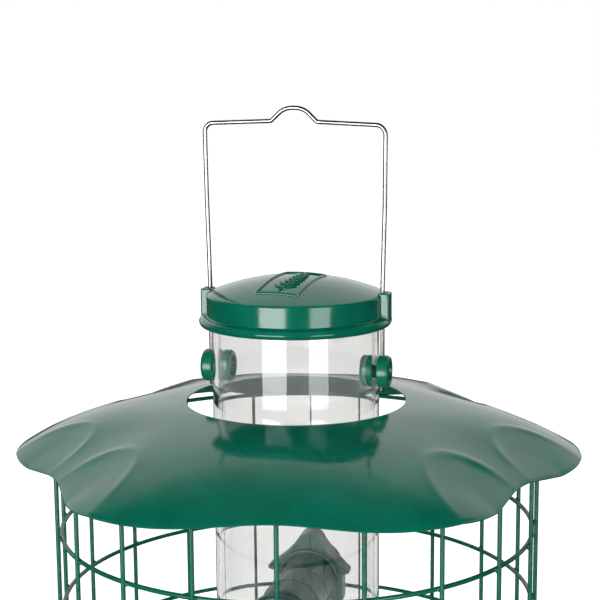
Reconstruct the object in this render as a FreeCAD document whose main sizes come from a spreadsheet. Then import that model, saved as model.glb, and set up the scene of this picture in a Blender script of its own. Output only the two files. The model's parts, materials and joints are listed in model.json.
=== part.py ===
"""A hanging caged seed-tube bird feeder, modelled as a parametric FreeCAD document.

Frame: origin at the middle of the flat tray bottom, +Z up, -Y through the upper front seed port,
+X through the right-hand bail button. All sizes are in millimetres.
"""
import FreeCAD, Part
import Sketcher
import math
import os
import re

from FreeCAD import Placement, Rotation, Vector

DRIVING_SIZES = {
    # seed tube
    "tube_outer_radius": 38.0,
    "tube_wall": 2.2,
    "tube_bottom": 24.0,
    "tube_top": 320.6,
    # lid
    "lid_rim_height": 313.6,
    "lid_rim_radius": 43.9,
    "lid_rim_half": 1.9,
    "lid_band_radius": 40.3,
    "lid_band_top": 325.6,
    "lid_dome_rise": 8.0,
    "lid_wall": 1.6,
    "lid_bore_radius": 38.3,
    "ear_reach": 43.6,
    "ear_half_width": 4.2,
    "ear_rise": 1.4,
    "wire_slot_inner": 38.75,
    "wire_slot_outer": 42.6,
    "wire_slot_half": 1.35,
    # bail
    "wire_radius": 1.0,
    "bail_foot_reach": 40.0,
    "bail_top_reach": 41.4,
    "bail_foot": 281.6,
    "bail_straight_top": 327.5,
    "bail_top": 402.4,
    "bail_corner_radius": 4.0,
    "hump_half_width": 10.5,
    "hump_rise": 6.3,
    # buttons
    "button_height": 290.8,
    "button_radius": 7.4,
    "button_face": 38.2,
    "button_outer_thickness": 5.4,
    "button_inner_face": 34.9,
    "button_inner_thickness": 4.8,
    "button_dish_radius": 5.2,
    "button_neck_radius": 3.0,
    "button_neck_length": 6.6,
    "button_edge": 1.1,
    # seed ports
    "port_upper_height": 181.2,
    "port_lower_height": 80.6,
    "port_outer_radius": 13.5,
    "port_wall": 1.8,
    "port_reach": 42.0,
    "collar_radius": 15.6,
    "collar_thickness": 4.2,
    "hood_peak": 23.2,
    "hood_half_width": 20.3,
    "hood_flap": 5.6,
    "hood_side": 17.0,
    "hood_foot": -9.0,
    "hood_near": 23.0,
    "perch_drop": 19.5,
    "perch_radius": 2.5,
    "perch_reach": 70.0,
    # roof
    "roof_hole_radius": 50.0,
    "roof_hole_height": 276.6,
    "roof_lobe_radius": 130.6,
    "roof_notch_radius": 114.8,
    "roof_lobe_drop": 23.4,
    "roof_notch_drop": 22.4,
    "roof_sheet": 0.8,
    "roof_notch_angle": 8.5,
    # cage
    "cage_wire_radius": 1.0,
    "ring_radius": 108.0,
    "ring_lowest": 8.0,
    "ring_pitch": 35.2,
    "upright_radius": 110.0,
    "upright_bottom": 1.05,
    "upright_top": 255.3,
    "upright_first_angle": 9.0,
    # tray
    "tray_sheet": 1.0,
    "tray_plateau_radius": 44.0,
    "tray_plateau_top": 18.0,
    "tray_floor_inner": 58.0,
    "tray_floor_outer": 110.5,
    "tray_rim_radius": 118.0,
    "tray_rim_top": 15.0,
    "drain_radius": 2.0,
    "drain_circle": 84.0,
    # tube base and its fixings
    "base_flange_radius": 42.0,
    "base_plug_height": 12.0,
    "base_plug_wall": 2.2,
    "cone_rise": 20.0,
    "cone_wall": 1.8,
    "bolt_radius": 2.5,
    "bolt_head_radius": 5.0,
    "bolt_head_height": 3.0,
    "bolt_foot": 3.5,
    "washer_radius": 9.0,
    "washer_thickness": 1.0,
    "nut_radius": 5.0,
    "nut_height": 6.0,
    "wing_reach": 13.0,
    "wing_thickness": 2.4,
    "wing_height": 10.0,
    "screw_height": 30.0,
    "screw_radius": 1.5,
    "screw_head_radius": 3.0,
    "screw_head_height": 1.8,
}

RING_COUNT = 8
UPRIGHT_COUNT = 20
LOBE_COUNT = 6
DRAIN_COUNT = 8

doc = FreeCAD.newDocument("caged_seed_feeder")
sheet = doc.addObject("Spreadsheet::Sheet", "sizes")
for row, (alias, value) in enumerate(DRIVING_SIZES.items(), start=1):
    sheet.set(f"A{row}", alias)
    sheet.set(f"B{row}", str(value))
    sheet.setAlias(f"B{row}", alias)
doc.recompute()

parts = []


def size(alias):
    """The value of one driving dimension, read from the sheet."""
    return float(sheet.get(alias))


def bound(text):
    """An expression in which each driving dimension's name points at its cell."""
    return re.sub(r"[a-z_]+", lambda word: "sizes." + word.group() if word.group() in DRIVING_SIZES
                  else word.group(), str(text))


def keep(feature, label):
    """Name a finished sub-part and list it for export."""
    feature.Label = label
    parts.append(feature)
    return feature


def place(feature, x="0", y="0", z="0", rotation=None):
    """Turn a feature, and bind its position to the sheet."""
    if rotation is not None:
        feature.Placement = Placement(Vector(0, 0, 0), rotation)
    for axis, text in (("x", x), ("y", y), ("z", z)):
        feature.setExpression(f"Placement.Base.{axis}", bound(text))
    return feature


def origin_plane(body, role):
    """One of a body's own origin planes."""
    return next(plane for plane in body.Origin.OriginFeatures if plane.Role == role)


def draw_polygon(body, name, corners):
    """A closed sketch on the body's XZ plane whose corners (radius, height) are bound to the sheet."""
    sketch = body.newObject("Sketcher::SketchObject", name)
    sketch.AttachmentSupport = [(origin_plane(body, "XZ_Plane"), "")]
    sketch.MapMode = "FlatFace"
    values = [[float(sheet.evalExpression(bound(text))) for text in corner] for corner in corners]
    for index, start in enumerate(values):
        end = values[(index + 1) % len(values)]
        sketch.addGeometry(Part.LineSegment(Vector(*start, 0), Vector(*end, 0)), False)
    for index in range(len(values)):
        joint = ("Coincident", index, 2, (index + 1) % len(values), 1)
        sketch.addConstraint(Sketcher.Constraint(*joint))
    for index, corner in enumerate(corners):
        for kind, rail, text, value in zip(("DistanceX", "DistanceY"), (-2, -1), corner, values[index]):
            if text == "0":
                sketch.addConstraint(Sketcher.Constraint("PointOnObject", index, 1, rail))
            else:
                number = sketch.addConstraint(Sketcher.Constraint(kind, -1, 1, index, 1, value))
                sketch.setExpression(f"Constraints[{number}]", bound(text))
    return sketch


def turned_body(name, corners):
    """A body turned about Z from an outline of (radius, height) corners."""
    body = doc.addObject("PartDesign::Body", name)
    sketch = draw_polygon(body, name + "_outline", corners)
    turn = body.newObject("PartDesign::Revolution", name + "_turn")
    turn.Profile = sketch
    turn.ReferenceAxis = (sketch, ["V_Axis"])
    turn.Angle = 360
    body.Tip = turn
    return body


def cylinder(name, radius, height, x="0", y="0", z="0", rotation=None):
    """A cylinder whose sizes and position are bound to the sheet."""
    rod = doc.addObject("Part::Cylinder", name)
    rod.setExpression("Radius", bound(radius))
    rod.setExpression("Height", bound(height))
    return place(rod, x, y, z, rotation)


def box(name, length, width, height, x="0", y="0", z="0"):
    """A box whose sizes and lowest corner are bound to the sheet."""
    block = doc.addObject("Part::Box", name)
    for edge, text in (("Length", length), ("Width", width), ("Height", height)):
        block.setExpression(edge, bound(text))
    return place(block, x, y, z)


def fuse(name, shapes):
    """The union of several features."""
    union = doc.addObject("Part::MultiFuse", name)
    union.Shapes = shapes
    return union


def cut(name, base, tools):
    """A feature with one or more others cut out of it."""
    result = doc.addObject("Part::Cut", name)
    result.Base = base
    result.Tool = tools[0] if len(tools) == 1 else fuse(name + "_tools", tools)
    return result


def common(name, base, tool):
    """The space that two features share."""
    result = doc.addObject("Part::Common", name)
    result.Base = base
    result.Tool = tool
    return result


ALONG_X = Rotation(Vector(0, 1, 0), 90)
ALONG_MINUS_X = Rotation(Vector(0, 1, 0), -90)
ALONG_Y = Rotation(Vector(1, 0, 0), -90)
QUARTER_TURN = Rotation(Vector(0, 0, 1), 90)
SIDES = (("right", 1, ALONG_X), ("left", -1, ALONG_MINUS_X))
LEVELS = (("upper", "port_upper_height", ALONG_Y), ("lower", "port_lower_height", ALONG_X))


def make_seed_tube():
    """The clear tube, with holes for the buttons, ports, perches and base screws."""
    outer = cylinder("tube_outside", "tube_outer_radius", "tube_top - tube_bottom", z="tube_bottom")
    holes = [cylinder("tube_inside", "tube_outer_radius - tube_wall", "tube_top - tube_bottom + 2",
                      z="tube_bottom - 1")]
    across = "-tube_outer_radius - 2"
    span = "2 * tube_outer_radius + 4"
    holes.append(cylinder("button_holes", "button_neck_radius + 0.05", span, x=across,
                          z="button_height", rotation=ALONG_X))
    holes.append(cylinder("screw_holes", "screw_radius + 0.05", span, y=across,
                          z="screw_height", rotation=ALONG_Y))
    for level, height, axis in LEVELS:
        start = {"x": across} if axis is ALONG_X else {"y": across}
        holes.append(cylinder(f"port_holes_{level}", "port_outer_radius + 0.05", span,
                              z=height, rotation=axis, **start))
        holes.append(cylinder(f"perch_holes_{level}", "perch_radius + 0.05", span,
                              z=f"{height} - perch_drop", rotation=axis, **start))
    keep(cut("tube", outer, holes), "seed_tube")


def make_tube_base():
    """The moulded plug that closes the tube, the cone that rests on it and its two screws."""
    plug_radius = "tube_outer_radius - tube_wall - 0.1"
    plug_top = "tube_bottom + base_plug_height"
    plug = turned_body("base_plug", [
        ("bolt_radius + 0.1", "tray_plateau_top"),
        ("base_flange_radius", "tray_plateau_top"),
        ("base_flange_radius", "tube_bottom"),
        (plug_radius, "tube_bottom"),
        (plug_radius, plug_top),
        (plug_radius + " - base_plug_wall", plug_top),
        (plug_radius + " - base_plug_wall", "tube_bottom - 2"),
        ("bolt_radius + 0.1", "tube_bottom - 2"),
    ])
    pilot_holes = cylinder("pilot_holes", "screw_radius + 0.05", "2 * tube_outer_radius",
                           y="-tube_outer_radius", z="screw_height", rotation=ALONG_Y)
    keep(cut("plug_with_holes", plug, [pilot_holes]), "tube_base")

    cone_foot = plug_top + " + 0.05"
    cone_radius = "tube_outer_radius - tube_wall - 0.2"
    cone = turned_body("cone", [
        (cone_radius, cone_foot),
        (cone_radius, cone_foot + " + cone_wall"),
        ("bolt_radius", cone_foot + " + cone_rise"),
        ("0", cone_foot + " + cone_rise"),
        ("0", cone_foot + " + cone_rise - cone_wall"),
        (cone_radius + " - 1.6 * cone_wall", cone_foot),
    ])
    keep(cone, "deflector_cone")

    screws = []
    for side, turn in (("front", 90), ("back", -90)):
        screw = turned_body(f"screw_{side}", [
            ("0", "tube_outer_radius - 6"),
            ("screw_radius", "tube_outer_radius - 5"),
            ("screw_radius", "tube_outer_radius + 0.2"),
            ("screw_head_radius", "tube_outer_radius + 0.2"),
            ("screw_head_radius - 0.6", "tube_outer_radius + 0.2 + screw_head_height"),
            ("0", "tube_outer_radius + 0.2 + screw_head_height"),
        ])
        screws.append(place(screw, z="screw_height", rotation=Rotation(Vector(1, 0, 0), turn)))
    keep(fuse("screw_pair", screws), "base_screws")


def make_base_fixing():
    """The bolt, washer and wing nut that clamp the tube base to the tray."""
    bolt = turned_body("bolt", [
        ("0", "bolt_foot"),
        ("bolt_radius - 0.5", "bolt_foot"),
        ("bolt_radius", "bolt_foot + 0.5"),
        ("bolt_radius", "tube_bottom - 2"),
        ("bolt_head_radius", "tube_bottom - 2"),
        ("bolt_head_radius", "tube_bottom - 2.8 + bolt_head_height"),
        ("bolt_head_radius - 0.8", "tube_bottom - 2 + bolt_head_height"),
        ("0", "tube_bottom - 2 + bolt_head_height"),
    ])
    keep(bolt, "base_bolt")

    washer_top = "tray_plateau_top - tray_sheet"
    washer = turned_body("washer", [
        ("bolt_radius + 0.1", washer_top + " - washer_thickness"),
        ("washer_radius", washer_top + " - washer_thickness"),
        ("washer_radius", washer_top),
        ("bolt_radius + 0.1", washer_top),
    ])
    keep(washer, "base_washer")

    nut_top = washer_top + " - washer_thickness - 0.05"
    hub = cylinder("nut_hub", "nut_radius", "nut_height", z=nut_top + " - nut_height")
    wings = []
    for side, start in (("right", "nut_radius - 1.5"), ("left", "-wing_reach")):
        wing = box(f"nut_wing_{side}", "wing_reach - nut_radius + 1.5", "wing_thickness", "wing_height",
                   x=start, y="-wing_thickness / 2", z=nut_top + " - 1 - wing_height")
        wings.append(wing)
    winged = doc.addObject("Part::Fillet", "nut_rounded")
    winged.Base = fuse("nut_blank", [hub] + wings)
    doc.recompute()
    tips = [number for number, edge in enumerate(winged.Base.Shape.Edges, start=1)
            if abs(abs(edge.CenterOfMass.x) - size("wing_reach")) < 0.01
            and abs(edge.CenterOfMass.y) < 0.01]
    winged.Edges = [(number, 1.6, 1.6) for number in tips]
    thread = cylinder("nut_thread", "bolt_radius + 0.06", "wing_height + 4", z=nut_top + " - wing_height - 2")
    keep(cut("nut", winged, [thread]), "wing_nut")


def make_tray():
    """The pressed tray: a flat floor, a raised middle over the wing nut, and drain holes."""
    pressed = turned_body("tray_pressing", [
        ("bolt_radius + 0.1", "tray_plateau_top"),
        ("tray_plateau_radius", "tray_plateau_top"),
        ("tray_floor_inner", "tray_sheet"),
        ("tray_floor_outer + 1.5", "tray_sheet"),
        ("tray_rim_radius - 1.2", "tray_rim_top - 1.6"),
        ("tray_rim_radius - 0.4", "tray_rim_top"),
        ("tray_rim_radius + 0.8", "tray_rim_top"),
        ("tray_rim_radius", "tray_rim_top - 2.2"),
        ("tray_floor_outer + 2.4", "0"),
        ("tray_floor_inner - 0.6", "0"),
        ("tray_plateau_radius - 0.6", "tray_plateau_top - tray_sheet"),
        ("bolt_radius + 0.1", "tray_plateau_top - tray_sheet"),
    ])
    drains = []
    for number in range(DRAIN_COUNT):
        angle = f"{360 * (number + 0.5) / DRAIN_COUNT} deg"
        drains.append(cylinder(f"drain_{number + 1}", "drain_radius", "tray_sheet + 2",
                               x=f"drain_circle * cos({angle})", y=f"drain_circle * sin({angle})", z="-1"))
    keep(cut("tray", pressed, drains), "seed_tray")


def make_cage():
    """The welded cage: wire rings, with straight uprights outside them."""
    for number in range(RING_COUNT):
        ring = doc.addObject("Part::Torus", f"ring_{number + 1}")
        ring.setExpression("Radius1", bound("ring_radius"))
        ring.setExpression("Radius2", bound("cage_wire_radius"))
        place(ring, z=f"ring_lowest + {number} * ring_pitch")
        keep(ring, f"cage_ring_{number + 1}")
    for number in range(UPRIGHT_COUNT):
        angle = f"(upright_first_angle + {360 / UPRIGHT_COUNT * number}) * 1 deg"
        upright = cylinder(f"upright_{number + 1}", "cage_wire_radius", "upright_top - upright_bottom",
                           x=f"upright_radius * sin({angle})", y=f"-upright_radius * cos({angle})",
                           z="upright_bottom")
        keep(upright, f"cage_upright_{number + 1:02d}")


def roof_point(share, angle, lower):
    """A point of the roof sheet: share 0 at the hole to 1 at the rim, angle from -Y towards +X."""
    lobe = (1 + math.cos(LOBE_COUNT * math.radians(angle - size("roof_notch_angle")) + math.pi)) / 2
    rim = size("roof_notch_radius") + (size("roof_lobe_radius") - size("roof_notch_radius")) * lobe
    radius = size("roof_hole_radius") + (rim - size("roof_hole_radius")) * share
    lobe_drop = size("roof_lobe_drop") * (0.4 * share + 0.6 * share ** 3)
    notch_drop = size("roof_notch_drop") * (0.2 * share + 0.8 * share ** 2)
    height = size("roof_hole_height") - lobe * lobe_drop - (1 - lobe) * notch_drop
    turn = math.radians(angle)
    return Vector(radius * math.sin(turn), -radius * math.cos(turn), height - lower)


def make_roof():
    """The six-lobed roof pressed from one sheet: smooth faces from notch to notch, closed at both edges."""
    steps_round, steps_out = 12, 8
    lobe_angle = 360 / LOBE_COUNT
    faces = []
    for lobe in range(LOBE_COUNT):
        skins = []
        for lower in (0, size("roof_sheet")):
            grid = [[roof_point(out / steps_out, size("roof_notch_angle") + lobe_angle * (lobe + turn / steps_round),
                                lower) for out in range(steps_out + 1)] for turn in range(steps_round + 1)]
            surface = Part.BSplineSurface()
            surface.interpolate(grid)
            skins.append(surface)
            faces.append(surface.toShape())
        for edge in (0, 1):
            span = skins[0].bounds()[2 + edge]
            rails = [skin.vIso(span).toShape() for skin in skins]
            faces.append(Part.makeRuledSurface(*rails))
    shell = Part.makeShell(faces)
    shell.sewShape()
    solid = Part.makeSolid(Part.makeShell(shell.Faces))
    if solid.Volume < 0:
        solid.reverse()
    roof = doc.addObject("Part::Feature", "roof_sheet_metal")
    roof.Shape = solid
    keep(roof, "roof")


def rounded_path(corners, radii):
    """Straight runs through the corners, with a tangent arc of the given radius at each inner one."""
    edges = []
    start = corners[0]
    for before, corner, after, radius in zip(corners, corners[1:], corners[2:], radii):
        arrive = (corner - before).normalize()
        leave = (after - corner).normalize()
        half_turn = arrive.getAngle(leave) / 2
        reach = radius * math.tan(half_turn)
        arc_start = corner - arrive * reach
        arc_end = corner + leave * reach
        inward = (leave - arrive).normalize()
        middle = corner + inward * (radius / math.cos(half_turn) - radius)
        edges.append(Part.LineSegment(start, arc_start).toShape())
        edges.append(Part.Arc(arc_start, middle, arc_end).toShape())
        start = arc_end
    edges.append(Part.LineSegment(start, corners[-1]).toShape())
    return Part.Wire(edges)


def make_bail():
    """The hanger: one wire bent up from both buttons, with a hump for a hook in the middle."""
    top = size("bail_top")
    hump_top = top + size("hump_rise")
    hump = size("hump_half_width")
    crown = 0.42 * hump
    half = [(size("bail_foot_reach"), size("bail_foot")),
            (size("bail_foot_reach"), size("bail_straight_top")),
            (size("bail_top_reach"), top),
            (hump, top),
            (crown, hump_top)]
    radii_half = [30.0, size("bail_corner_radius"), 2.2, 4.0]
    corners = [Vector(x, 0, z) for x, z in half] + [Vector(-x, 0, z) for x, z in reversed(half)]
    path = rounded_path(corners, radii_half + radii_half[::-1])
    section = Part.Wire(Part.makeCircle(size("wire_radius"), corners[0], Vector(0, 0, 1)))
    bail = doc.addObject("Part::Feature", "bail_bent")
    bail.Shape = path.makePipeShell([section], True, False)
    keep(bail, "bail_wire")
    print("bail", round(bail.Shape.Volume, 1), "of", round(path.Length * math.pi * size("wire_radius") ** 2, 1))


def make_buttons():
    """The outer buttons, each with a neck through the tube wall, and the inner ones pressed on them."""
    for side, sign, axis in SIDES:
        outer = turned_body(f"button_outside_{side}", [
            ("0", "-button_neck_length"),
            ("button_neck_radius", "-button_neck_length"),
            ("button_neck_radius", "0"),
            ("button_radius - button_edge / 2", "0"),
            ("button_radius", "button_edge / 2"),
            ("button_radius", "button_outer_thickness - button_edge"),
            ("button_radius - button_edge", "button_outer_thickness"),
            ("button_dish_radius", "button_outer_thickness"),
            ("button_dish_radius - 0.4", "button_outer_thickness - 1"),
            ("0", "button_outer_thickness - 1"),
        ])
        place(outer, x=f"{sign} * button_face", z="button_height", rotation=axis)
        wire_hole = cylinder(f"wire_hole_{side}", "wire_radius + 0.05", "2 * button_radius + 2",
                             x=f"{sign} * bail_foot_reach", z="button_height - button_radius - 1")
        keep(cut(f"button_drilled_{side}", outer, [wire_hole]), f"button_outer_{side}")

        inner = turned_body(f"button_inside_{side}", [
            ("button_neck_radius + 0.05", "0"),
            ("button_radius - button_edge / 2", "0"),
            ("button_radius", "-button_edge / 2"),
            ("button_radius", "button_edge - button_inner_thickness"),
            ("button_radius - button_edge", "-button_inner_thickness"),
            ("button_dish_radius", "-button_inner_thickness"),
            ("button_dish_radius - 0.4", "2.4 - button_inner_thickness"),
            ("button_neck_radius + 0.05", "2.4 - button_inner_thickness"),
        ])
        place(inner, x=f"{sign} * button_inner_face", z="button_height", rotation=axis)
        keep(inner, f"button_inner_{side}")


def make_lid():
    """The domed lid: band, rolled rim and two ears, hollow, with a slot for each bail leg."""
    sphere_radius = "(lid_band_radius ^ 2 + lid_dome_rise ^ 2) / (2 * lid_dome_rise)"
    sphere_middle = f"lid_band_top + lid_dome_rise - {sphere_radius}"
    foot = "(lid_rim_height - lid_rim_half)"
    band = cylinder("lid_band", "lid_band_radius", f"lid_band_top - {foot}", z=foot)
    ball = doc.addObject("Part::Sphere", "lid_ball")
    ball.setExpression("Radius", bound(sphere_radius))
    place(ball, z=sphere_middle)
    dome_disc = cylinder("lid_dome_disc", "lid_band_radius", "2 * lid_dome_rise", z="lid_band_top - 0.5")
    dome = common("lid_dome", ball, dome_disc)
    rim_disc = cylinder("lid_rim_disc", "lid_rim_radius - lid_rim_half", "2 * lid_rim_half", z=foot)
    rim_roll = doc.addObject("Part::Torus", "lid_rim_roll")
    rim_roll.setExpression("Radius1", bound("lid_rim_radius - lid_rim_half"))
    rim_roll.setExpression("Radius2", bound("lid_rim_half"))
    place(rim_roll, z="lid_rim_height")
    ear_bar = box("ear_bar", "2 * ear_reach", "2 * ear_half_width", f"lid_band_top + ear_rise - lid_rim_height",
                  x="-ear_reach", y="-ear_half_width", z="lid_rim_height")
    ear_disc = cylinder("ear_disc", "ear_reach", "lid_band_top + ear_rise - lid_rim_height", z="lid_rim_height")
    ear_hollow = cylinder("ear_hollow", "lid_band_radius - 3.4", "2 * lid_dome_rise",
                          z="lid_rim_height - 1")
    ears = cut("ears", common("ear_pair", ear_bar, ear_disc), [ear_hollow])
    blank = fuse("lid_blank", [band, dome, rim_disc, rim_roll, ears])

    seat = cylinder("lid_seat", "lid_bore_radius", f"tube_top + 0.1 - {foot} + 1", z=f"{foot} - 1")
    inner_ball = doc.addObject("Part::Sphere", "lid_inner_ball")
    inner_ball.setExpression("Radius", bound(f"{sphere_radius} - lid_wall"))
    place(inner_ball, z=sphere_middle)
    inner_disc = cylinder("lid_inner_disc", "lid_band_radius - 3.5", "3 * lid_dome_rise", z="tube_top - 1")
    vault = common("lid_vault", inner_ball, inner_disc)
    slots = []
    for side, start in (("right", "wire_slot_inner"), ("left", "-wire_slot_outer")):
        slots.append(box(f"wire_slot_{side}", "wire_slot_outer - wire_slot_inner", "2 * wire_slot_half",
                         "4 * lid_dome_rise", x=start, y="-wire_slot_half", z=f"{foot} - 1"))
    keep(cut("lid_hollow", blank, [seat, vault] + slots), "lid")


def hood_outline():
    """The bell-shaped outline of the seed hood, in its own plane: rounded peak, flared flaps, straight sides."""
    peak = size("hood_peak")
    flap = size("hood_flap")
    half = size("hood_half_width")
    side = size("hood_side")
    shoulder = Vector(0.31 * half, 0, peak - 0.25 * (peak - flap))
    middle = Vector(0.6 * half, 0, peak - 0.63 * (peak - flap))
    right = [Vector(half, 0, flap + 0.8), Vector(half, 0, flap - 0.6), Vector(side, 0, flap - 1.6),
             Vector(side, 0, size("hood_foot"))]
    mirror = FreeCAD.Matrix()
    mirror.scale(-1, 1, 1)
    edges = [Part.Arc(mirror * shoulder, Vector(0, 0, peak), shoulder).toShape(),
             Part.Arc(shoulder, middle, right[0]).toShape()]
    edges += [Part.LineSegment(a, b).toShape() for a, b in zip(right, right[1:])]
    edges.append(Part.LineSegment(right[-1], mirror * right[-1]).toShape())
    left = [mirror * point for point in reversed(right)]
    edges += [Part.LineSegment(a, b).toShape() for a, b in zip(left, left[1:])]
    edges.append(Part.Arc(left[-1], mirror * middle, mirror * shoulder).toShape())
    return Part.Wire(edges)


def make_ports():
    """Each level's insert runs right through the tube, ends in two collars and has a perch below."""
    for level, height, axis in LEVELS:
        turn = Rotation() if axis is ALONG_Y else QUARTER_TURN
        reach, radius = size("port_reach"), size("port_outer_radius")
        bore = radius - size("port_wall")
        inside = size("tube_outer_radius") - size("tube_wall") - 0.2
        forward = Vector(0, 1, 0)
        start = Vector(0, -reach, 0)
        vault = Part.makeCylinder(radius, 2 * reach, start, forward)
        hood = Part.Face(hood_outline()).extrude(forward * (inside - size("hood_near")))
        hood.translate(forward * size("hood_near"))
        hood = hood.common(Part.makeCylinder(inside, 80, Vector(0, 0, -40)))
        open_length = inside - 5
        seed_gap = Part.makeBox(2 * radius, open_length + size("hood_near") - 1, radius,
                                Vector(-radius, -open_length, -radius))
        insert = vault.fuse(hood).cut(Part.makeCylinder(bore, 2 * reach + 2, start - forward, forward))
        insert = insert.cut(seed_gap.common(vault)).removeSplitter()
        feature = doc.addObject("Part::Feature", f"insert_{level}")
        feature.Shape = insert
        feature.Placement = Placement(Vector(0, 0, size(height)), turn)
        keep(feature, f"port_insert_{level}")

        ends = (("front", -1), ("back", 1)) if axis is ALONG_Y else (("right", 1), ("left", -1))
        for end, sign in ends:
            step = Vector(0, sign, 0) if axis is ALONG_Y else Vector(sign, 0, 0)
            make_collar(f"port_collar_{level}_{end}", size(height), step)

        start_text = {"x": "-perch_reach"} if axis is ALONG_X else {"y": "-perch_reach"}
        perch = cylinder(f"perch_rod_{level}", "perch_radius", "2 * perch_reach",
                         z=f"{height} - perch_drop", rotation=axis, **start_text)
        keep(perch, f"perch_{level}")


def make_collar(label, height, outward):
    """A round collar saddled on the tube round the end of an insert."""
    face = size("tube_outer_radius") + size("collar_thickness")
    depth = face - 0.8 * size("tube_outer_radius")
    centre = Vector(0, 0, height)
    ring = Part.makeCylinder(size("collar_radius"), depth, centre + outward * (face - depth), outward)
    rim = [edge for edge in ring.Edges if abs((edge.CenterOfMass - centre).Length - face) < 0.01]
    ring = ring.makeFillet(1.4, rim)
    ring = ring.cut(Part.makeCylinder(size("port_outer_radius") + 0.05, face + 2, centre, outward))
    tube = Part.makeCylinder(size("tube_outer_radius") + 0.05, 80, centre - Vector(0, 0, 40))
    feature = doc.addObject("Part::Feature", label + "_saddle")
    feature.Shape = ring.cut(tube)
    keep(feature, label)


def write_parts():
    """Check every object and write each sub-part as one STEP file."""
    doc.recompute()
    for item in doc.Objects:
        if "Invalid" in item.State or "Error" in item.State:
            raise RuntimeError(f"{item.Name} is in state {item.State}")
    os.makedirs("parts", exist_ok=True)
    for part in parts:
        shape = part.Shape
        if shape.isNull() or not shape.isValid() or shape.Volume <= 0:
            raise RuntimeError(f"{part.Label} has no valid shape")
        shape.exportStep(os.path.join("parts", part.Label + ".step"))
        print(part.Label, len(shape.Solids), round(shape.Volume, 1))


make_seed_tube()
make_tube_base()
make_base_fixing()
make_tray()
make_cage()
make_roof()
make_bail()
make_buttons()
make_lid()
make_ports()
write_parts()
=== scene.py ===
"""The looks of the caged seed-tube feeder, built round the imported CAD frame. Metres, Z up."""

import json
import math

import bmesh
import bpy
from mathutils import Matrix, Vector


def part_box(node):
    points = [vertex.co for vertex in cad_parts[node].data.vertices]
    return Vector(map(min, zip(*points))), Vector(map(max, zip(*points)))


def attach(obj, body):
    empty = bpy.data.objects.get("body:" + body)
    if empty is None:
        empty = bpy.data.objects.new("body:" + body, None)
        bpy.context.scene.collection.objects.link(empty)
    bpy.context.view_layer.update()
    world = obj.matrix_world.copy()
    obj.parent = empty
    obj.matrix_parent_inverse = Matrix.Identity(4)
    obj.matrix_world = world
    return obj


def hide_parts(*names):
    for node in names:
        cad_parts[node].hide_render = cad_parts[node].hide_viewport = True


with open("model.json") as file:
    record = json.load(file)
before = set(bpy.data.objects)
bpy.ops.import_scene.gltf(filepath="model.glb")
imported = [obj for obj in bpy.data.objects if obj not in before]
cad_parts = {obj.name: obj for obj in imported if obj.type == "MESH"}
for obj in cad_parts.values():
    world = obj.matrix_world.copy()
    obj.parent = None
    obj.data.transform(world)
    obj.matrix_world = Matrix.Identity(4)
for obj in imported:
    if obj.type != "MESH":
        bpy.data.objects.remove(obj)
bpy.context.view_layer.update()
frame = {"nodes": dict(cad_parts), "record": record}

MM = 0.001
LEFT_RIGHT = (("left", -1), ("right", 1))
RIM_LIFT = 1.9                        # the middle of the lid's rolled rim above the lid's lowest edge, mm


# ---------------------------------------------------------------- camera, floor and light

CAMERA_TURN = math.radians(13.1)      # how far the camera stands round from the front, towards +X
CAMERA_TILT = math.radians(9.26)      # how far it looks down
CAMERA_ROLL = math.radians(-0.45)
CAMERA_DISTANCE = 0.6467
CAMERA_SIDESTEP = 0.0021
CAMERA_RISE = 0.1141                  # above the middle of the lid's rolled rim
CAMERA_LENS = 86.75                   # millimetres, on a sensor 36 mm wide


def make_camera(rim_height):
    """The camera at the photographed angle: slightly above the lid and turned a little to the right."""
    sight = Matrix.Rotation(CAMERA_TURN, 3, "Z")
    forward = sight @ Vector((0, math.cos(CAMERA_TILT), -math.sin(CAMERA_TILT)))
    right = sight @ Vector((1, 0, 0))
    up = right.cross(forward)
    right, up = (right * math.cos(CAMERA_ROLL) + up * math.sin(CAMERA_ROLL),
                 up * math.cos(CAMERA_ROLL) - right * math.sin(CAMERA_ROLL))
    data = bpy.data.cameras.new("camera")
    data.sensor_width = 36
    data.lens = CAMERA_LENS
    data.clip_start = 0.01
    data.clip_end = 50
    camera = bpy.data.objects.new("camera", data)
    bpy.context.scene.collection.objects.link(camera)
    place = sight @ Vector((CAMERA_SIDESTEP, -CAMERA_DISTANCE, 0)) + Vector((0, 0, rim_height + CAMERA_RISE))
    turn = Matrix((right, up, -forward)).transposed().to_4x4()
    camera.matrix_world = Matrix.Translation(place) @ turn
    bpy.context.scene.camera = camera


def area_light(name, azimuth, distance, height, width, tall, power, aim=0.3):
    """A soft box round the object: azimuth 0 stands at the front of the photographed view."""
    data = bpy.data.lights.new(name, "AREA")
    data.shape = "RECTANGLE"
    data.size = width
    data.size_y = tall
    data.energy = power
    light = bpy.data.objects.new(name, data)
    bpy.context.scene.collection.objects.link(light)
    turn = math.radians(azimuth) + CAMERA_TURN
    light.location = (distance * math.sin(turn), -distance * math.cos(turn), height)
    look = Vector((0, 0, aim)) - light.location
    light.rotation_euler = look.to_track_quat("-Z", "Y").to_euler()
    return light


WALL_FADE = (0.36, 0.80)              # cosine of the turn from straight behind, from dark to white
CEILING_FADE = (0.76, 1.01)           # height of the direction, from white to dark
GROUND_FADE = (-0.10, 0.02)           # height of the direction, from dark to white
NARROWING_START = 0.55                # above this height the white wall grows narrower
WALL_DARK, CEILING_DARK, GROUND_DARK = 0.02, 0.03, 0.05


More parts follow.
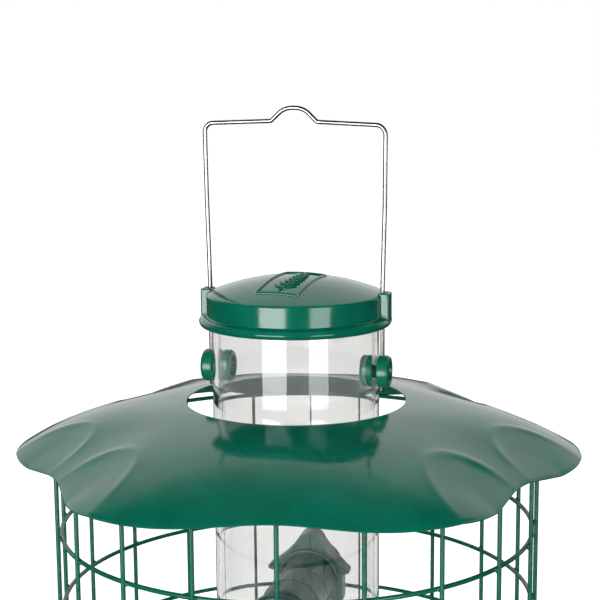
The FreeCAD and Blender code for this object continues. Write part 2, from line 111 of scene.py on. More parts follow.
def make_surround():
    """White behind the object, dark at the sides, in front and overhead, and plain white to the eye."""
    world = bpy.data.worlds.new("surround")
    world.use_nodes = True
    tree = world.node_tree
    shader = tree.nodes["Background"]
    shader.inputs["Color"].default_value = (1, 1, 1, 1)

    def node(kind, operation, *inputs):
        """A maths node whose inputs are numbers or sockets."""
        made = tree.nodes.new(kind)
        made.operation = operation
        for socket, value in zip(made.inputs, inputs):
            if isinstance(value, bpy.types.NodeSocket):
                tree.links.new(value, socket)
            else:
                socket.default_value = value
        return made

    def number(operation, *inputs):
        return node("ShaderNodeMath", operation, *inputs).outputs[0]

    def fade(value, start, end, low, high):
        """A smooth step of a value, from low at start to high at end."""
        ramp = tree.nodes.new("ShaderNodeMapRange")
        ramp.interpolation_type = "SMOOTHSTEP"
        tree.links.new(value, ramp.inputs["Value"])
        for name, setting in (("From Min", start), ("From Max", end), ("To Min", low), ("To Max", high)):
            ramp.inputs[name].default_value = setting
        return ramp.outputs["Result"]

    direction = tree.nodes.new("ShaderNodeTexCoord").outputs["Generated"]
    backward = (-math.sin(CAMERA_TURN), math.cos(CAMERA_TURN), 0)
    level = node("ShaderNodeVectorMath", "MULTIPLY", direction, (1, 1, 0)).outputs["Vector"]
    level = node("ShaderNodeVectorMath", "NORMALIZE", level).outputs["Vector"]
    behind = node("ShaderNodeVectorMath", "DOT_PRODUCT", level, backward).outputs["Value"]
    height = node("ShaderNodeVectorMath", "DOT_PRODUCT", direction, (0, 0, 1)).outputs["Value"]
    narrowing = number("MAXIMUM", number("SUBTRACT", height, NARROWING_START), 0.0)
    wall = fade(number("SUBTRACT", behind, narrowing), *WALL_FADE, WALL_DARK, 1.0)
    ceiling = fade(height, *CEILING_FADE, 1.0, CEILING_DARK)
    ground = fade(height, *GROUND_FADE, GROUND_DARK, 1.0)
    light = number("MULTIPLY", number("MULTIPLY", wall, ceiling), ground)

    path = tree.nodes.new("ShaderNodeLightPath").outputs
    straight = number("LESS_THAN", number("ADD", path["Glossy Depth"], path["Diffuse Depth"]), 0.5)
    through = number("MULTIPLY", path["Is Transmission Ray"], straight)
    seen = number("MAXIMUM", path["Is Camera Ray"], through)
    strength = number("MAXIMUM", light, seen)
    tree.links.new(strength, shader.inputs["Strength"])
    bpy.context.scene.world = world


FLOOR_REACH = 6.0
BOX_DISTANCE = 1.6
SOFT_BOXES = (                        # name, azimuth, width, power of the low box and of the fill over it
    ("left", -29, 0.95, 24, 34),
    ("right", 31, 0.74, 11, 15),
)


def make_floor():
    """Pale paper under the object, bright enough to read as white."""
    mesh = bpy.data.meshes.new("floor")
    corners = [(-FLOOR_REACH, -FLOOR_REACH, 0), (FLOOR_REACH, -FLOOR_REACH, 0),
               (FLOOR_REACH, FLOOR_REACH, 0), (-FLOOR_REACH, FLOOR_REACH, 0)]
    mesh.from_pydata(corners, [], [(0, 1, 2, 3)])
    floor = bpy.data.objects.new("floor", mesh)
    bpy.context.scene.collection.objects.link(floor)
    paper = Paint("floor_paper", (0.4, 0.4, 0.4), roughness=0.9)
    paper.set("Emission Color", (1, 1, 1, 1))
    paper.set("Emission Strength", 0.95)
    mesh.materials.append(paper.material)
    floor.visible_glossy = False


def make_studio():
    """The surround, the floor, a light overhead, and a soft box with a fill over it on each side."""
    scene = bpy.context.scene
    scene.view_settings.view_transform = "Standard"
    scene.cycles.use_denoising = True
    scene.cycles.transparent_max_bounces = 24
    scene.cycles.max_bounces = 16
    scene.cycles.transmission_bounces = 14
    make_surround()
    make_floor()
    overhead = area_light("overhead", azimuth=180, distance=0.3, height=1.9, width=1.1, tall=1.1, power=11)
    overhead.visible_glossy = False
    for side, azimuth, width, low_power, fill_power in SOFT_BOXES:
        area_light(f"soft_box_{side}", azimuth, BOX_DISTANCE, height=0.2, width=width, tall=0.8,
                   power=low_power)
        fill = area_light(f"fill_{side}", azimuth, BOX_DISTANCE, height=1.15, width=width, tall=1.1,
                          power=fill_power)
        fill.visible_glossy = False


# ---------------------------------------------------------------- materials

class Paint:
    """A Principled material and short ways to wire texture nodes into it."""

    def __init__(self, name, colour, roughness=0.4, metallic=0.0):
        self.material = bpy.data.materials.new(name)
        self.material.use_nodes = True
        self.tree = self.material.node_tree
        self.shader = self.tree.nodes["Principled BSDF"]
        self.set("Base Color", (*colour, 1))
        self.set("Roughness", roughness)
        self.set("Metallic", metallic)

    def set(self, socket, value):
        """Set one of the shader's own inputs."""
        self.shader.inputs[socket].default_value = value

    def node(self, kind, **values):
        """A new node; values that name an input set it, and sockets given as values are linked."""
        node = self.tree.nodes.new(kind)
        for name, value in values.items():
            name = name.replace("_", " ")
            socket = node.inputs.get(name) or node.inputs.get(name.title())
            if isinstance(value, bpy.types.NodeSocket):
                self.tree.links.new(value, socket)
            else:
                socket.default_value = value
        return node

    def place(self, stretch=(1, 1, 1)):
        """Object coordinates in metres, stretched along each axis."""
        mapping = self.tree.nodes.new("ShaderNodeMapping")
        mapping.inputs["Scale"].default_value = stretch
        coordinates = self.tree.nodes.new("ShaderNodeTexCoord")
        self.tree.links.new(coordinates.outputs["Object"], mapping.inputs["Vector"])
        return mapping.outputs["Vector"]

    def noise(self, scale, detail=3.0, roughness=0.5, stretch=(1, 1, 1)):
        """Noise with so many cells to the metre."""
        texture = self.node("ShaderNodeTexNoise", Vector=self.place(stretch), Scale=scale, Detail=detail,
                            Roughness=roughness)
        return texture.outputs["Fac"]

    def ramp(self, factor, low, high, start, end):
        """A two-stop colour or value ramp of a factor."""
        ramp = self.tree.nodes.new("ShaderNodeValToRGB")
        ramp.color_ramp.elements[0].position = low
        ramp.color_ramp.elements[1].position = high
        ramp.color_ramp.elements[0].color = start
        ramp.color_ramp.elements[1].color = end
        self.tree.links.new(factor, ramp.inputs["Fac"])
        return ramp.outputs["Color"]

    def link(self, output, socket):
        """Wire a node's output into the shader."""
        self.tree.links.new(output, self.shader.inputs[socket])

    def bump(self, *layers):
        """Stacked bumps: each layer is (height output, depth in metres)."""
        normal = None
        for height, depth in layers:
            bump = self.node("ShaderNodeBump", Height=height, Strength=1.0, Distance=depth)
            if normal is not None:
                self.tree.links.new(normal, bump.inputs["Normal"])
            normal = bump.outputs["Normal"]
        self.link(normal, "Normal")


def tint(colour, factor):
    """The colour, darker or lighter by a factor."""
    return (*[min(1.0, channel * factor) for channel in colour], 1)


def grey(value):
    return (value, value, value, 1)


def coated(name, colour, rough_low, rough_high, peel=0.00002, spread=0.12, cells=70):
    """Glossy coloured coating or plastic: faint blotches, uneven gloss and a shallow orange peel."""
    paint = Paint(name, colour, roughness=rough_low)
    blotches = paint.noise(cells, detail=2.0)
    shades = paint.ramp(blotches, 0.3, 0.7, tint(colour, 1 - spread), tint(colour, 1 + spread))
    paint.link(shades, "Base Color")
    film = paint.noise(cells * 4, detail=4.0)
    paint.link(paint.ramp(film, 0.35, 0.75, grey(rough_low), grey(rough_high)), "Roughness")
    paint.bump((paint.noise(420, detail=1.0), peel), (paint.noise(2600, detail=2.0), peel * 0.15))
    return paint


def make_materials():
    """One material for each of the record's slots."""
    green = (0.0008, 0.062, 0.038)
    made = {
        "green_roof_enamel": coated("roof_enamel", green, 0.09, 0.16, peel=0.000012),
        "green_lid_plastic": coated("lid_plastic", green, 0.10, 0.18, peel=0.00002),
        "green_button_plastic": coated("button_plastic", (0.0012, 0.068, 0.038), 0.2, 0.3, peel=0.000015),
        "green_cage_coat": coated("cage_coat", (0.0012, 0.062, 0.036), 0.2, 0.34, peel=0.00002),
        "green_port_plastic": coated("port_plastic", (0.012, 0.05, 0.042), 0.3, 0.45, peel=0.00003),
    }
    steel = Paint("bail_steel", (0.42, 0.41, 0.39), roughness=0.3, metallic=1.0)
    drawn = steel.noise(60, detail=2.0)
    steel.link(steel.ramp(drawn, 0.3, 0.7, grey(0.26), grey(0.34)), "Roughness")
    tarnish = steel.ramp(steel.noise(120), 0.3, 0.75, (0.47, 0.46, 0.44, 1), (0.33, 0.31, 0.285, 1))
    steel.link(tarnish, "Base Color")
    made["bail_steel"] = steel

    zinc = Paint("zinc_plate", (0.66, 0.67, 0.69), roughness=0.3, metallic=1.0)
    spangle = zinc.noise(400, detail=4.0)
    zinc.link(zinc.ramp(spangle, 0.3, 0.7, (0.6, 0.61, 0.62, 1), (0.73, 0.73, 0.72, 1)), "Base Color")
    zinc.link(zinc.ramp(spangle, 0.25, 0.8, grey(0.22), grey(0.42)), "Roughness")
    zinc.bump((zinc.noise(1500, detail=2.0), 0.000008))
    made["zinc_fixings"] = zinc

    clear = Paint("clear_tube", (0.81, 0.81, 0.8), roughness=0.02)
    clear.set("Transmission Weight", 1.0)
    clear.set("IOR", 1.5)
    haze = clear.noise(45, detail=5.0, stretch=(1, 1, 0.35))
    clear.link(clear.ramp(haze, 0.35, 0.8, grey(0.0), grey(0.05)), "Roughness")
    clear.bump((clear.noise(60, detail=1.0, stretch=(1, 1, 0.2)), 0.00004))
    made["clear_plastic"] = clear
    return {slot: paint.material for slot, paint in made.items()}


# ---------------------------------------------------------------- mesh helpers

def swing(start, end, share):
    """The spoke a share of the way round from one spoke of a circle to another."""
    angle = start.angle(end)
    return (start * math.sin((1 - share) * angle) + end * math.sin(share * angle)) / math.sin(angle)


def outline(corners, steps=6):
    """A closed outline from (across, up, fillet radius) corners, in millimetres."""
    points = []
    for index, (across, up, radius) in enumerate(corners):
        here = Vector((across, up))
        if not radius:
            points.append(here)
            continue
        before = Vector(corners[index - 1][:2])
        after = Vector(corners[(index + 1) % len(corners)][:2])
        arrive = (here - before).normalized()
        leave = (after - here).normalized()
        half_turn = arrive.angle(leave) / 2
        reach = radius * math.tan(half_turn)
        centre = here + (leave - arrive).normalized() * radius / math.cos(half_turn)
        start = here - arrive * reach - centre
        end = here + leave * reach - centre
        points += [centre + swing(start, end, step / steps) for step in range(steps + 1)]
    return points


def skin(loops, wrap):
    """Points and faces of a surface through loops of points; wrap joins the last loop to the first."""
    count = len(loops[0])
    faces = []
    for row in range(len(loops) if wrap else len(loops) - 1):
        below = row * count
        above = (row + 1) % len(loops) * count
        for index in range(count):
            after = (index + 1) % count
            faces.append((below + index, below + after, above + after, above + index))
    if not wrap:
        last = (len(loops) - 1) * count
        faces.append(tuple(reversed(range(count))))
        faces.append(tuple(range(last, last + count)))
    return [point for loop in loops for point in loop], faces


def bare_object(name, points, faces):
    """An object of points in millimetres, cleaned of doubles and with its faces turned outwards."""
    mesh = bpy.data.meshes.new(name)
    mesh.from_pydata([Vector(point) * MM for point in points], [], faces)
    work = bmesh.new()
    work.from_mesh(mesh)
    bmesh.ops.remove_doubles(work, verts=work.verts, dist=1e-6)
    bmesh.ops.dissolve_degenerate(work, edges=work.edges, dist=1e-7)
    bmesh.ops.recalc_face_normals(work, faces=work.faces)
    work.to_mesh(mesh)
    work.free()
    made = bpy.data.objects.new(name, mesh)
    bpy.context.scene.collection.objects.link(made)
    return made


def finish_piece(made, slot, body="feeder", replaced=(), sharp=38):
    """Smooth the piece, give it its material and let it ride on its body."""
    made.data.shade_smooth()
    made.data.set_sharp_from_angle(angle=math.radians(sharp))
    made.data.materials.clear()
    made.data.materials.append(materials[slot])
    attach(made, body)
    if replaced:
        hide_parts(*replaced)
    return made


def piece(name, points, faces, slot, body="feeder", replaced=(), sharp=38):
    """A finished piece from points in millimetres."""
    return finish_piece(bare_object(name, points, faces), slot, body, replaced, sharp)


def lathe(profile, turn=Matrix.Identity(4), sides=128):
    """Points and faces of a closed (radius, height) outline turned about Z, then moved by a matrix."""
    loops = []
    for side in range(sides):
        angle = math.tau * side / sides
        loops.append([turn @ Vector((radius * math.cos(angle), radius * math.sin(angle), height))
                      for radius, height in profile])
    return skin(loops, wrap=True)


def wire(path, radius, sides=20, closed=False):
    """Points and faces of a round wire along a path, with domed ends when it is open."""
    loops = []
    side_axis = None
    for index, here in enumerate(path):
        before = path[index - 1] if index or closed else here
        after = path[(index + 1) % len(path)] if index < len(path) - 1 or closed else here
        ahead = (after - before).normalized()
        if side_axis is None:
            side_axis = ahead.orthogonal().normalized()
        side_axis = (side_axis - ahead * side_axis.dot(ahead)).normalized()
        other = ahead.cross(side_axis)
        ring = [side_axis * math.cos(math.tau * k / sides) + other * math.sin(math.tau * k / sides)
                for k in range(sides)]
        if not closed and index in (0, len(path) - 1):
            outward = ahead * (-1 if index == 0 else 1)
            caps = [[here + outward * radius * 0.5 * (math.sin(lift) - 1) + spoke * radius * math.cos(lift)
                     for spoke in ring] for lift in (0, 0.45, 0.9, 1.35)]
            loops += caps[::-1] if index == 0 else caps
        else:
            loops.append([here + spoke * radius for spoke in ring])
    return skin(loops, wrap=closed)


def joined(*surfaces):
    """Several surfaces as one list of points and one of faces."""
    points, faces = [], []
    for more_points, more_faces in surfaces:
        faces += [tuple(index + len(points) for index in face) for face in more_faces]
        points += more_points
    return points, faces


def rounded_box(low, high, radius):
    """A box with rounded edges, in millimetres."""
    work = bmesh.new()
    bmesh.ops.create_cube(work, size=1)
    for vert in work.verts:
        vert.co = Vector([low[axis] if vert.co[axis] < 0 else high[axis] for axis in range(3)])
    bmesh.ops.bevel(work, geom=work.edges, offset=radius, segments=5, profile=0.5, affect="EDGES")
    surface = ([vert.co.copy() for vert in work.verts],
               [tuple(vert.index for vert in face.verts) for face in work.faces])
    work.free()
    return bare_object("block", *surface)


def combine(base, other, operation):
    """Union or difference of two objects, applied to the first; the second is removed."""
    step = base.modifiers.new("combine", "BOOLEAN")
    step.operation = operation
    step.solver = "EXACT"
    step.object = other
    depsgraph = bpy.context.evaluated_depsgraph_get()
    mesh = bpy.data.meshes.new_from_object(base.evaluated_get(depsgraph))
    base.modifiers.clear()
    base.data = mesh
    bpy.data.objects.remove(other)


def span(node):
    """A CAD node's lowest and highest corners, in millimetres."""
    low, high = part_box(node)
    return Vector(low) / MM, Vector(high) / MM


# ---------------------------------------------------------------- roof

LOBES = 6
NOTCH_ANGLE = 8.5                     # degrees from the front, towards +X
ROOF_HOLE = 50.0
ROOF_LOBE = 129.4
ROOF_NOTCH = 114.8
ROOF_SHEET = 0.8
LOBE_DROP = 23.4
NOTCH_DROP = 22.4
NOTCH_SHARPNESS = 1.25                # over 1 makes the notches narrower than the lobes


def smooth(value, start, end):
    """A smooth step from 0 at start to 1 at end."""
    share = min(1.0, max(0.0, (value - start) / (end - start)))
    return share * share * (3 - 2 * share)


DENT_OFFSET = 14.5                    # degrees from each notch to the middle of the hollows beside it
DENT_RADIUS = 122.0
DENT_HALF_WIDTH = 23.0
DENT_LENGTH = 31.0
DENT_DEPTH = 4.0
CREASE_RISE = 0.4
DENT_FADE = 0.28                      # share of the roof, in from the rim, over which a hollow grows shallow
CREASE_WIDTH = 0.10                   # in shares of the hollow's size
FRONT_DENT_SHARE = 0.08               # the hollows beside the front notch are much fainter


def notch_dents(angle, radius, share):
    """How far the hollows on both sides of each notch lower the sheet, with the raised crease round them."""
    pitch = 360 / LOBES
    notch = round((angle - NOTCH_ANGLE) / pitch)
    aside = angle - NOTCH_ANGLE - notch * pitch
    number = notch % LOBES
    uneven = math.sin(2.3 * number + (1.1 if aside > 0 else 0.2))
    strength = FRONT_DENT_SHARE if number == 0 else 1 + 0.15 * uneven
    turn = math.radians(abs(aside) - DENT_OFFSET - 0.8 * uneven)
    across = radius * math.sin(turn) / (DENT_HALF_WIDTH + uneven)
    along = (DENT_RADIUS - radius * math.cos(turn)) / (DENT_LENGTH + 1.5 * uneven)
    edge = math.hypot(across, max(0.0, along))
    inside = smooth(1 - share, 0.0, DENT_FADE)
    seam = smooth(pitch / 2 - abs(aside), 0, 6) * smooth(abs(aside), 0, 5)
    hollow = DENT_DEPTH * max(0.0, 1 - edge) ** 0.85 * (0.5 + 0.5 * inside)
    crease = CREASE_RISE * math.exp(-((edge - 1.0) / CREASE_WIDTH) ** 2) * inside
    return (hollow - crease) * strength * seam


def roof_point(hole_height, share, angle, lower):
    """A point of the roof: share 0 at the hole to 1 at the rim, angle in degrees from the front."""
    lobe = (1 - math.cos(LOBES * math.radians(angle - NOTCH_ANGLE))) / 2
    rim = ROOF_LOBE - (ROOF_LOBE - ROOF_NOTCH) * (1 - lobe) ** NOTCH_SHARPNESS
    radius = ROOF_HOLE + (rim - ROOF_HOLE) * share
    drop = (lobe * LOBE_DROP * (0.4 * share + 0.6 * share ** 3)
            + (1 - lobe) * NOTCH_DROP * (0.2 * share + 0.8 * share ** 2))
    turn = math.radians(angle)
    height = hole_height - drop - notch_dents(angle, radius, share) - lower
    return Vector((radius * math.sin(turn), -radius * math.cos(turn), height))


def make_roof():
    """The pressed sheet: both skins in one surface, with rounded cut edges."""
    steps_out, steps_round, edge_steps = 84, 540, 4
    shares = [step / steps_out for step in range(steps_out + 1)]
    hole_height = span("roof")[1].z
    loops = []
    for step in range(steps_round):
        angle = 360 * step / steps_round
        top = [roof_point(hole_height, share, angle, 0) for share in shares]
        under = [roof_point(hole_height, share, angle, ROOF_SHEET) for share in shares]
        loop = []
        for skin_points, outward in ((top, 1), (under[::-1], -1)):
            loop += skin_points[1:-1]
            tip, partner = (top[-1], under[-1]) if outward > 0 else (under[0], top[0])
            middle = (tip + partner) / 2
            radial = Vector((middle.x, middle.y, 0)).normalized() * outward
            for turn_step in range(edge_steps + 1):
                turn = math.pi / 2 - math.pi * turn_step / edge_steps
                lift = (tip - middle) * math.sin(turn)
                bulge = radial * (math.cos(turn) - 1) * ROOF_SHEET / 2
                loop.append(middle + lift + bulge)
        loops.append(loop)
    piece("roof_pressing", *skin(loops, wrap=True), "green_roof_enamel", replaced=["roof"])


# ---------------------------------------------------------------- lid

LID_BAND = 40.3
LID_RIM = 43.9
LID_BORE = 38.3                       # over the tube's outside
BAND_HEIGHT = 12.0                    # above the middle of the rolled rim
DOME_RISE = 8.0
LID_WALL = 1.6
TUBE_STOP = 7.1                       # where the tube's top meets the lid, above the rolled rim
EAR_REACH = 43.6
EAR_HALF_WIDTH = 4.2
EAR_TOP = 1.4                         # above the band
SLOT_HALF_WIDTH = 1.35                # lets a bail leg through
SLOT_REACH = (38.75, 42.6)


def dome_height(radius, shell=0.0):
    """Height of the dome at a radius, above the band's top; shell is how far inside the skin."""
    sphere = (LID_BAND ** 2 + DOME_RISE ** 2) / (2 * DOME_RISE)
    return math.sqrt((sphere - shell) ** 2 - radius ** 2) - sphere + DOME_RISE


def make_lid():
    """The lid: domed shell with a rolled rim and two ears, each slotted for a bail leg."""
    low = span("lid")[0]
    rim = low.z + RIM_LIFT
    band_top = rim + BAND_HEIGHT
    top_arc = [(radius, band_top + dome_height(radius), 0) for radius in
               (0, 4, 8, 12, 16, 20, 24, 28, 32, 35, 37.5)]
    inner_arc = [(radius, band_top + dome_height(radius, LID_WALL), 0) for radius in
                 (LID_BORE - 1.5, 33, 28, 22, 16, 10, 5, 0)]
    corners = top_arc + [
        (LID_BAND, band_top + 0.05, 1.1),
        (LID_BAND, rim + 2.5, 0.5),
        (LID_BAND + 1.1, rim + 2.2, 0.5),
        (LID_RIM - 0.9, rim + 1.75, 0.8),
        (LID_RIM, rim, 1.3),
        (LID_RIM - 0.9, low.z, 1.2),
        (LID_BORE, low.z, 0.6),
        (LID_BORE, rim + TUBE_STOP, 0),
        (LID_BORE - 1.5, rim + TUBE_STOP, 0),
    ] + inner_arc
    shell = bare_object("lid_shell", *lathe(outline(corners), sides=192))
    for side in (-1, 1):
        reach = sorted((side * (LID_BORE + 0.3), side * EAR_REACH))
        ear = rounded_box((reach[0], -EAR_HALF_WIDTH, rim),
                          (reach[1], EAR_HALF_WIDTH, band_top + EAR_TOP), 0.7)
        combine(shell, ear, "UNION")
    for side in (-1, 1):
        reach = sorted(side * end for end in SLOT_REACH)
        cutter = rounded_box((reach[0], -SLOT_HALF_WIDTH, low.z - 3),
                             (reach[1], SLOT_HALF_WIDTH, band_top + 6), 0.3)
        combine(shell, cutter, "DIFFERENCE")
    finish_piece(shell, "green_lid_plastic", "lid", ["lid"], sharp=32)
    make_emblem(band_top)


PLATE_CENTRE = Vector((0.8, -10.2))
PLATE_TURN = math.radians(-7.3)
PLATE_HALF = (9.6, 18.6)
SUNK = 0.3                            # how far the raised beads and leaves start below the dome's skin


def make_emblem(band_top):
    """A raised plate outline on the dome with a plain leaf sprig in it."""
    half_wide, half_long = PLATE_HALF

    def drape(across, along, lift):
        """A point of the plate, laid on the dome and lifted off it."""
        spot = Matrix.Rotation(PLATE_TURN, 2) @ Vector((across, along)) + PLATE_CENTRE
        return Vector((spot.x, spot.y, band_top + dome_height(spot.length) + lift))

    def ridge(route, half, rise):
        """A low rounded bead on the dome along a route of (across, along) points."""
        loops = []
        for index, here in enumerate(route):
            ahead = (route[min(index + 1, len(route) - 1)] - route[max(index - 1, 0)]).normalized()
            side = Vector((ahead.y, -ahead.x))
            top = []
            for step in range(9):
                turn = math.pi * step / 8
                lift = (rise + SUNK / 2) * max(0, math.sin(turn)) - SUNK / 2
                top.append(drape(*(here + side * half * math.cos(turn)), lift))
            under = [drape(*(here + side * half * shift), -SUNK) for shift in (-0.9, 0, 0.9)]
            loops.append(top + under)
        return skin(loops, wrap=False)

    def leaf(root, heading, length, width, rise):
        """A leaf with a raised midrib, lying on the dome."""
        ahead = Vector((math.cos(heading), math.sin(heading)))
        side = Vector((-ahead.y, ahead.x))
        loops = []
        for step in range(13):
            share = step / 12
            half = width / 2 * math.sin(math.pi * share) ** 0.8 * (1 - 0.25 * share) + 0.05
            here = root + ahead * length * share
            inner = [drape(*(here + side * half * shift), rise * (1 - 0.55 * abs(shift)))
                     for shift in (0.8, 0.45, 0.12, 0, -0.12, -0.45, -0.8)]
            top = [drape(*(here + side * half), 0.0), *inner, drape(*(here - side * half), 0.0)]
            under = [drape(*(here + side * half * shift), -SUNK) for shift in (-0.9, 0, 0.9)]
            loops.append(top + under)
        return skin(loops, wrap=False)

    surfaces = []
    corners = [Vector(corner) for corner in ((-half_wide, -half_long), (half_wide, -half_long),
                                             (half_wide, half_long), (-half_wide, half_long))]
    for start, end in zip(corners, corners[1:] + corners[:1]):
        surfaces.append(ridge([start.lerp(end, step / 16) for step in range(17)], 0.55, 0.8))
    stem = [Vector((1.6 * math.sin(3.2 * step / 24), 31 * step / 24 - 15.5)) for step in range(25)]
    surfaces.append(ridge(stem, 0.45, 0.7))
    for number in range(7):
        root = stem[2 + 3 * number]
        size = 6.6 - 0.35 * number
        for side in (-1, 1):
            heading = math.pi / 2 - side * math.radians(52 - 2.5 * number)
            surfaces.append(leaf(root, heading, size, 2.7, 0.85))
    surfaces.append(leaf(stem[-3], math.pi / 2, 4.2, 2.6, 0.85))
    piece("lid_emblem", *joined(*surfaces), "green_lid_plastic", "lid", sharp=50)


# ---------------------------------------------------------------- bail and buttons

def arc_path(corners, radii, steps=10):
    """A path through the corners with an arc of the given radius at each inner one."""
    path = [corners[0]]
    for before, corner, after, radius in zip(corners, corners[1:], corners[2:], radii):
        arrive = (corner - before).normalized()
        leave = (after - corner).normalized()
        half_turn = arrive.angle(leave) / 2
        reach = radius * math.tan(half_turn)
        centre = corner + (leave - arrive).normalized() * radius / math.cos(half_turn)
        start = corner - arrive * reach - centre
        end = corner + leave * reach - centre
        path += [centre + swing(start, end, step / steps) for step in range(steps + 1)]
    return path + [corners[-1]]


BAIL_RADIUS = 1.0
BAIL_LEG = 40.0                       # from the middle of the lid to each leg in its ear
STRAIGHT_LEG = 45.9                   # from the button up through the ear
HUMP_FOOT, HUMP_TOP = 10.5, 4.41
HUMP_RISE = 6.3


def make_bail():
    """The hanger: one bent steel wire, both legs down through the lid's ears into the outer buttons."""
    low, high = span("bail_wire")
    crown = high.z - BAIL_RADIUS
    top_line = crown - HUMP_RISE
    reach = high.x - BAIL_RADIUS
    ear = low.z + STRAIGHT_LEG
    route = [(-BAIL_LEG, low.z), (-BAIL_LEG, ear), (-BAIL_LEG - 0.9, low.z + 88), (-reach, top_line - 0.5),
             (-HUMP_FOOT, top_line + 0.5), (-HUMP_TOP, crown), (HUMP_TOP, crown), (HUMP_FOOT, top_line + 0.1),
             (reach, top_line - 1.4), (BAIL_LEG + 1.0, low.z + 84), (BAIL_LEG, ear), (BAIL_LEG, low.z)]
    radii = [30.0, 60.0, 4.0, 1.9, 9.0, 9.0, 2.6, 4.4, 60.0, 30.0]
    path = arc_path([Vector((x, 0, z)) for x, z in route], radii)
    piece("bail_steel_wire", *wire(path, BAIL_RADIUS, sides=28), "bail_steel", replaced=["bail_wire"],
          sharp=60)


BUTTON = 7.4                          # radius of a button's flange
BUTTON_STEM = 3.0                     # radius of the outer button's stem
SOCKET = 3.05                         # radius of the inner button's hole for that stem


def make_buttons():
    """Rounded, dished buttons on both sides of the tube wall, each pair pressed together."""
    for side, sign in LEFT_RIGHT:
        low, high = span(f"button_outer_{side}")
        turn = Matrix.Translation((0, 0, (low.z + high.z) / 2)) @ Matrix.Rotation(math.pi / 2 * sign, 4, "Y")
        face = max(abs(low.x), abs(high.x))
        outer = outline([(0, face - 1.5, 0), (4.6, face - 1.5, 0.5), (5.1, face, 0.45), (6.6, face, 0.9),
                         (BUTTON, face - 1.2, 1.0), (BUTTON, face - 5.1, 0.6),
                         (BUTTON - 0.5, face - 5.4, 0.3), (BUTTON_STEM, face - 5.4, 0),
                         (BUTTON_STEM, face - 11.9, 0.4), (0, face - 11.9, 0)])
        piece(f"button_outside_{side}", *lathe(outer, turn, sides=72), "green_button_plastic",
              replaced=[f"button_outer_{side}"])
        low, high = span(f"button_inner_{side}")
        face = min(abs(low.x), abs(high.x))
        inner = outline([(SOCKET, face + 2.4, 0), (4.4, face + 2.4, 0.4), (4.9, face, 0.5), (6.5, face, 0.8),
                         (BUTTON, face + 1.1, 0.9), (BUTTON, face + 4.4, 0.5),
                         (BUTTON - 0.5, face + 4.8, 0.3), (SOCKET, face + 4.8, 0)])
        piece(f"button_inside_{side}", *lathe(inner, turn, sides=72), "green_button_plastic",
              replaced=[f"button_inner_{side}"])


# ---------------------------------------------------------------- cage

WIRE_RADIUS = 1.0                     # of the cage's rings


def make_welds():
    """A small flattened bead where each upright crosses each ring."""
    surfaces = []
    rings = [span(name) for name in sorted(frame["nodes"]) if name.startswith("cage_ring_")]
    uprights = [span(name) for name in sorted(frame["nodes"]) if name.startswith("cage_upright_")]
    bead = [(math.cos(lift) + 1e-9, math.sin(lift)) for lift in
            [math.pi * (step / 8 - 0.5) for step in range(9)]]
    for upright_number, (low, high) in enumerate(uprights):
        spot = (low + high) / 2
        turn = math.atan2(spot.y, spot.x)
        for ring_number, (ring_low, ring_high) in enumerate(rings):
            height = (ring_low.z + ring_high.z) / 2
            radius = (math.hypot(spot.x, spot.y) + ring_high.x - WIRE_RADIUS) / 2
            wobble = math.sin(7.1 * upright_number + 3.3 * ring_number)
            size = Matrix.Diagonal((0.85, 1.55 + 0.2 * wobble, 1.35 - 0.15 * wobble, 1))
            centre = Vector((radius * math.cos(turn), radius * math.sin(turn), height + 0.15 * wobble))
            place = Matrix.Translation(centre) @ Matrix.Rotation(turn, 4, "Z") @ size
            surfaces.append(lathe(bead, place, sides=12))
    piece("cage_welds", *joined(*surfaces), "green_cage_coat", sharp=70)


# ---------------------------------------------------------------- seed ports

PERCH_DROP = 19.5                     # from a port's axis down to its perch
PERCH_HALF = 70.0
PERCH_RADIUS = 2.5
INSERT_RADIUS = 13.5
INSERT_REACH = 42.0                   # from the tube's axis to each mouth
HOOD_PLACE = 22.6                     # from the tube's axis to the face of the peaked hood
LIP_RADIUS = 12.6


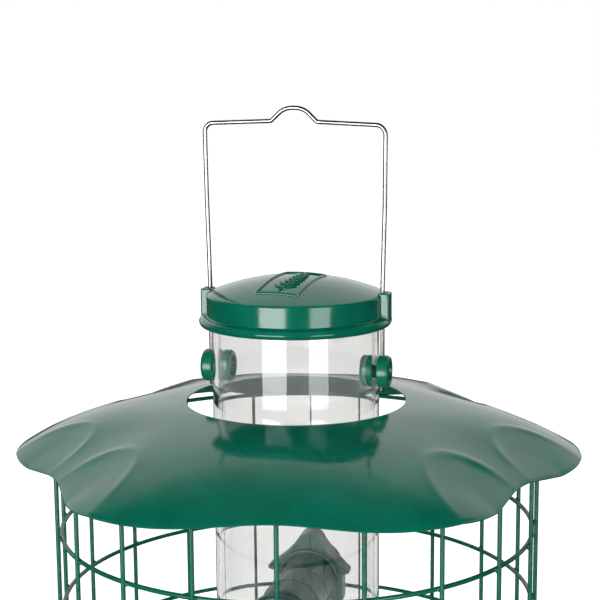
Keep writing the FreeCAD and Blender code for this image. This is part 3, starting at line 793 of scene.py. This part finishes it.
def make_port_trim(level, across):
    """A port's ribs, the hoops round its vault, the arch at its hood and a rolled lip at each mouth."""
    perch_low, perch_high = span(f"perch_{level}")
    axis = (perch_low.z + perch_high.z) / 2 + PERCH_DROP
    turn = Matrix.Translation((0, 0, axis)) @ Matrix.Rotation(math.pi / 2 * across, 4, "Z")

    def spot(radius, lift, along):
        return turn @ Vector((radius * math.cos(lift), along, radius * math.sin(lift)))

    surfaces = []
    for along in (-30.0, -13.5, 3.0):
        hoop = [spot(INSERT_RADIUS, math.pi * (0.04 + 0.92 * step / 40), along) for step in range(41)]
        surfaces.append(wire(hoop, 0.45, sides=10))
    for rib in range(9):
        line = [spot(INSERT_RADIUS - 0.1, math.radians(30 + 15 * rib), along) for along in (-33, -10, 12, 22)]
        surfaces.append(wire(line, 0.28, sides=8))
    arch = [spot(INSERT_RADIUS + 1.5, math.pi * (0.02 + 0.96 * step / 44), HOOD_PLACE) for step in range(45)]
    surfaces.append(wire(arch, 1.1, sides=12))
    for sign in (-1, 1):
        lip = [spot(LIP_RADIUS, math.tau * step / 72, sign * INSERT_REACH) for step in range(72)]
        surfaces.append(wire(lip, 0.75, sides=12, closed=True))
    piece(f"port_trim_{level}", *joined(*surfaces), "green_port_plastic", sharp=60)


def make_perch(level, across):
    """A perch bar with rounded ends."""
    low, high = span(f"perch_{level}")
    rod = outline([(0, -PERCH_HALF, 0), (PERCH_RADIUS, -PERCH_HALF, 1.0), (PERCH_RADIUS, PERCH_HALF, 1.0),
                   (0, PERCH_HALF, 0)])
    turn = (Matrix.Translation((0, 0, (low.z + high.z) / 2))
            @ Matrix.Rotation(math.pi / 2 * across, 4, "Z") @ Matrix.Rotation(math.pi / 2, 4, "X"))
    piece(f"perch_rod_{level}", *lathe(rod, turn, sides=40), "green_port_plastic",
          replaced=[f"perch_{level}"])


def paint_cad_nodes():
    """Each CAD node that stays visible gets the material of its slot."""
    for subpart in frame["record"]["subparts"]:
        node = frame["nodes"][subpart["node"]]
        if not node.material_slots:
            node.data.materials.append(None)
        for material_slot in node.material_slots:
            material_slot.material = materials[subpart["material_slot"]]
    frame["nodes"]["seed_tube"].visible_shadow = False


make_studio()
make_camera(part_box("lid")[0].z + RIM_LIFT * MM)
materials = make_materials()
paint_cad_nodes()
make_roof()
make_lid()
make_bail()
make_buttons()
make_welds()
for level, across in (("upper", 0), ("lower", 1)):
    make_port_trim(level, across)
    make_perch(level, across)
